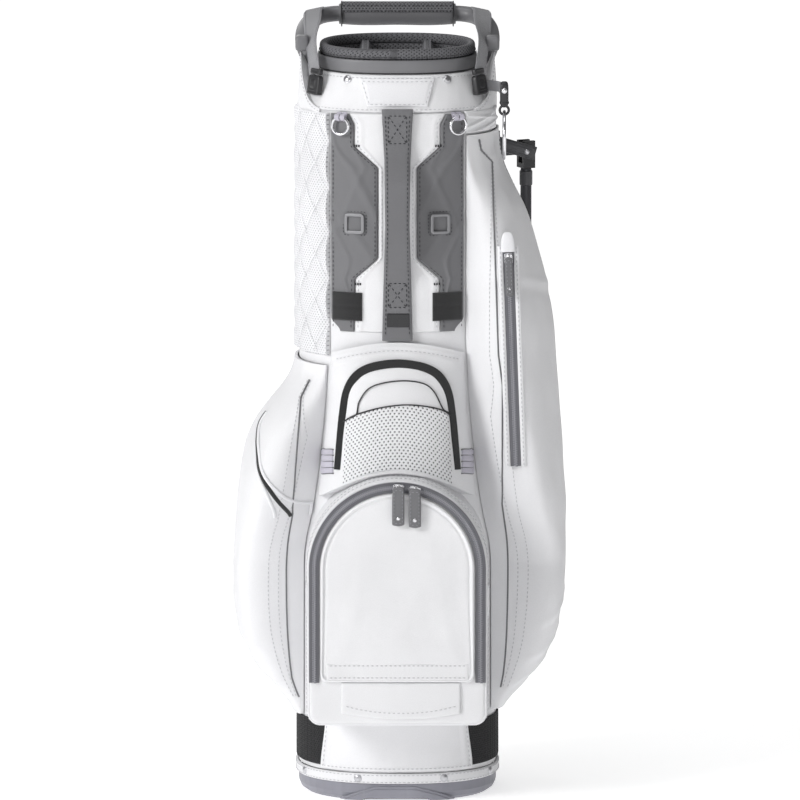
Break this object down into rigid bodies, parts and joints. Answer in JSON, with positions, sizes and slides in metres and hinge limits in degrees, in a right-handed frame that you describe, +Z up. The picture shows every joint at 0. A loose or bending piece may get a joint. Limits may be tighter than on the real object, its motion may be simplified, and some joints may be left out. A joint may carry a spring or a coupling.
{
  "type": "golf stand bag",
  "caption": "Upright golf stand bag with an oval body, divided top cuff, lift handle, side and front zip pockets, spine handle, rings, buckles and two folding legs.",
  "frame": {"origin": "on the floor, at the middle of the moulded foot", "axes": "+Z up; -Y to the front, the side with the spine handle and the front pockets; +X to the side with the stand legs and the towel ring"},
  "size_m": [0.3873, 0.3595, 0.905],
  "materials": {
    "white_leather": "soft pebbled white synthetic leather",
    "white_quilted": "perforated white synthetic leather, quilted in diamonds",
    "gray_leather": "smooth mid-gray synthetic leather with matching stitching",
    "gray_plastic": "satin gray moulded plastic",
    "base_plastic": "fine-grained gray moulded plastic, scuffed at the bottom edge",
    "gray_pad": "perforated padded gray fabric",
    "dark_plastic": "near-black moulded plastic",
    "stand_metal": "dark gray coated aluminium tube",
    "black_mesh": "open black spacer mesh",
    "black_webbing": "black woven webbing",
    "gray_webbing": "gray woven webbing",
    "zip_coil": "gray coil zip on woven tape",
    "steel": "nickel-plated steel, lightly polished",
    "rubber": "black moulded rubber",
    "divider_cloth": "dark gray woven nylon lining"
  },
  "bodies": {
    "bag": {"accessory_pocket": "white_leather", "accessory_trim": "black_webbing", "ball_front_panel": "white_leather", "ball_pocket": "white_leather", "ball_zipper": "zip_coil", "base_rim_band": "white_leather", "base_shell": "base_plastic", "buckle_body_left": "dark_plastic", "buckle_body_right": "dark_plastic", "cuff_pad": "gray_pad", "divider_frame": "gray_pad", "divider_sheet_left": "divider_cloth", "divider_sheet_right": "divider_cloth", "emblem_patch": "white_leather", "flex_gusset_left": "black_mesh", "flex_gusset_right": "black_mesh", "handle_grip": "gray_pad", "hip_pad": "black_mesh", "hook_clip": "dark_plastic", "left_pocket": "white_leather", "lift_handle": "gray_plastic", "quilted_panel": "white_quilted", "right_pocket": "white_leather", "ring_loop_left": "gray_webbing", "ring_loop_right": "gray_webbing", "shoulder_strap_left": "gray_leather", "shoulder_strap_right": "gray_leather", "side_panel_left": "gray_leather", "side_panel_right": "gray_leather", "side_zipper": "zip_coil", "spine_handle": "gray_leather", "square_frame_left": "steel", "square_frame_right": "steel", "stand_bracket": "stand_metal", "strap_loop_left": "black_webbing", "strap_loop_right": "black_webbing", "strap_lug_left": "gray_plastic", "strap_lug_right": "gray_plastic", "top_cuff": "gray_plastic", "tube_shell": "white_leather", "yoke_panel": "white_leather"},
    "leg_front_body": {"leg_clevis_front": "dark_plastic", "leg_front": "stand_metal", "leg_foot_front": "rubber"},
    "leg_rear_body": {"leg_clevis_rear": "dark_plastic", "leg_rear": "stand_metal", "leg_foot_rear": "rubber"},
    "actuator": {"actuator_rod": "steel"},
    "foot_lever_body": {"foot_lever": "dark_plastic"},
    "ball_slider_left_body": {"ball_slider_left": "steel"},
    "ball_slider_right_body": {"ball_slider_right": "steel"},
    "ball_pull_left_body": {"ball_pull_left": "gray_leather"},
    "ball_pull_right_body": {"ball_pull_right": "gray_leather"},
    "side_slider_body": {"side_slider": "steel"},
    "side_pull_body": {"side_pull": "gray_leather"},
    "ring_left_body": {"ring_left": "steel"},
    "ring_right_body": {"ring_right": "steel"},
    "towel_ring_body": {"towel_ring": "steel"},
    "buckle_insert_left_body": {"buckle_insert_left": "dark_plastic"},
    "buckle_insert_right_body": {"buckle_insert_right": "dark_plastic"}
  },
  "joints": [
    {"name": "leg_front_hinge", "type": "hinge", "parent": "bag", "child": "leg_front_body", "pos_m": [0.1494, 0.055, 0.739], "axis": [0.454, -0.891, 0], "range_deg": [0, 32], "stiffness_Nm_per_rad": 0.6},
    {"name": "leg_rear_hinge", "type": "hinge", "parent": "bag", "child": "leg_rear_body", "pos_m": [0.055, 0.1494, 0.739], "axis": [0.891, -0.454, 0], "range_deg": [0, 32], "stiffness_Nm_per_rad": 0.6},
    {"name": "actuator_slide", "type": "slide", "parent": "bag", "child": "actuator", "axis": [0, 0, 1], "range_m": [0, 0.0101]},
    {"name": "foot_lever_hinge", "type": "hinge", "parent": "bag", "child": "foot_lever_body", "pos_m": [0.05657, 0.05657, 0.003], "axis": [0.7071, -0.7071, 0], "range_deg": [0, 11.6]},
    {"name": "ball_slider_left_run", "type": "hinge", "parent": "bag", "child": "ball_slider_left_body", "pos_m": [0, -0.1896, 0.2865], "axis": [0, 1, 0], "range_deg": [-88, 0]},
    {"name": "ball_slider_right_run", "type": "hinge", "parent": "bag", "child": "ball_slider_right_body", "pos_m": [0, -0.1896, 0.2865], "axis": [0, 1, 0], "range_deg": [0, 76]},
    {"name": "ball_pull_left_swing", "type": "hinge", "parent": "ball_slider_left_body", "child": "ball_pull_left_body", "pos_m": [0.001, -0.1978, 0.38349], "axis": [-1, 0, 0], "range_deg": [0, 100]},
    {"name": "ball_pull_right_swing", "type": "hinge", "parent": "ball_slider_right_body", "child": "ball_pull_right_body", "pos_m": [0.02, -0.1978, 0.38138], "axis": [-1, 0, 0], "range_deg": [0, 100]},
    {"name": "side_slider_run", "type": "hinge", "parent": "bag", "child": "side_slider_body", "pos_m": [0.1323, 0.5568, 0.51], "axis": [0.9993, 0, 0.037], "range_deg": [0, 19]},
    {"name": "side_pull_swing", "type": "hinge", "parent": "side_slider_body", "child": "side_pull_body", "pos_m": [0.12756, -0.12209, 0.63819], "axis": [-0.9993, 0, -0.037], "range_deg": [0, 100]},
    {"name": "ring_left_swing", "type": "hinge", "parent": "bag", "child": "ring_left_body", "pos_m": [-0.06567, -0.09759, 0.79808], "axis": [-0.9128, 0.4083, 0], "range_deg": [0, 95]},
    {"name": "ring_right_swing", "type": "hinge", "parent": "bag", "child": "ring_right_body", "pos_m": [0.07004, -0.09551, 0.79808], "axis": [-0.8934, -0.4493, 0], "range_deg": [0, 95]},
    {"name": "towel_ring_swing", "type": "hinge", "parent": "bag", "child": "towel_ring_body", "pos_m": [0.123, -0.056, 0.799], "axis": [0, -1, 0], "range_deg": [0, 80]},
    {"name": "buckle_left_release", "type": "slide", "parent": "bag", "child": "buckle_insert_left_body", "axis": [0.3676, 0.2354, 0.8997], "range_m": [0, 0.008]},
    {"name": "buckle_right_release", "type": "slide", "parent": "bag", "child": "buckle_insert_right_body", "axis": [-0.3676, 0.2354, 0.8997], "range_m": [0, 0.008]}
  ],
  "couplings": [
    {"joint": "leg_rear_hinge", "follows": "leg_front_hinge", "ratio": 1},
    {"joint": "actuator_slide", "follows": "leg_front_hinge", "m_per_rad": 0.0179},
    {"joint": "foot_lever_hinge", "follows": "leg_front_hinge", "ratio": 0.359}
  ]
}
